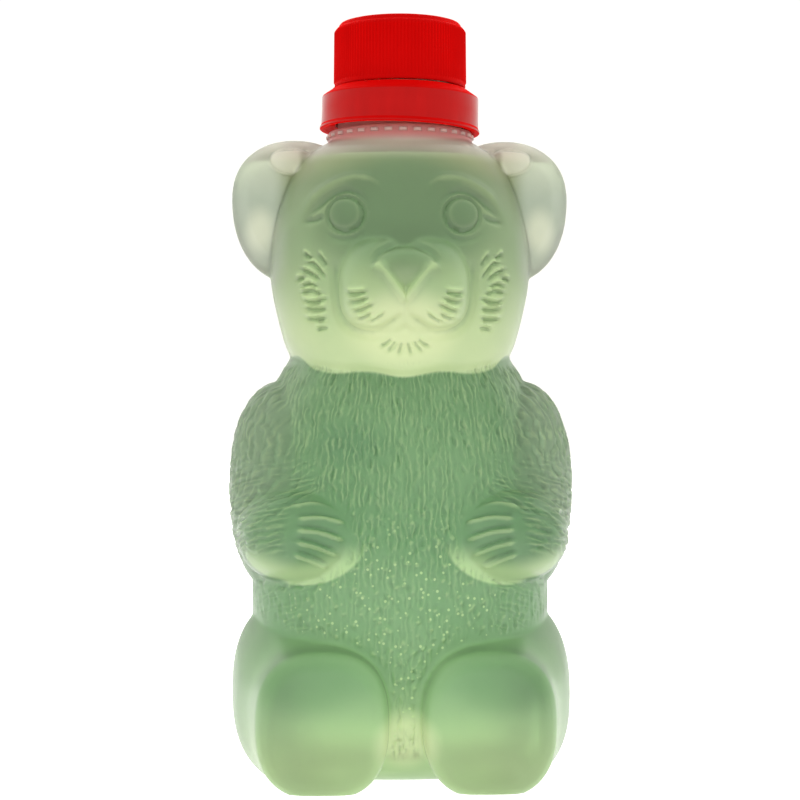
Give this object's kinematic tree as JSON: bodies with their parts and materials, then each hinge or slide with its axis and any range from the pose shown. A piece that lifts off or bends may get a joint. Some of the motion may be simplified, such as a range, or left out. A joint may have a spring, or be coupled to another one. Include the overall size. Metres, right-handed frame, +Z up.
{
  "type": "bear-shaped bottle",
  "caption": "Hollow, translucent drinks bottle in the shape of a sitting bear, with a threaded neck, a ribbed screw cap that unscrews and lifts off, a sealing liner and a loose tamper band.",
  "frame": {"origin": "middle of the base, on the plane the bottle stands on", "axes": "+Z up along the neck, the bear faces -Y, +X to the right of the picture; the neck, head and torso share an upright axis 4 mm behind the origin, at y = +0.004 m"},
  "size_m": [0.0806, 0.07, 0.1778],
  "materials": {
    "bottle": "frosted, translucent, tinted green by the drink seen through it",
    "cap": "satin red",
    "liner": "soft white foam",
    "band": "satin red"
  },
  "bodies": {
    "bottle": {"bottle_body": "bottle"},
    "tamper_band": {"tamper_band": "band"},
    "cap_liner": {"cap_liner": "liner"},
    "cap": {"screw_cap": "cap"}
  },
  "joints": [
    {"name": "band_turn", "type": "hinge", "parent": "bottle", "child": "tamper_band", "pos_m": [0, 0.004, 0.156], "axis": [0, 0, 1], "continuous": true},
    {"name": "cap_rise", "type": "slide", "parent": "bottle", "child": "cap_liner", "axis": [0, 0, 1], "range_m": [0, 0.02]},
    {"name": "cap_twist", "type": "hinge", "parent": "cap_liner", "child": "cap", "pos_m": [0, 0.004, 0.17], "axis": [0, 0, 1], "range_deg": [0, 1799]}
  ],
  "couplings": [
    {"joint": "cap_rise", "follows": "cap_twist", "m_per_rad": 0.00063662}
  ]
}
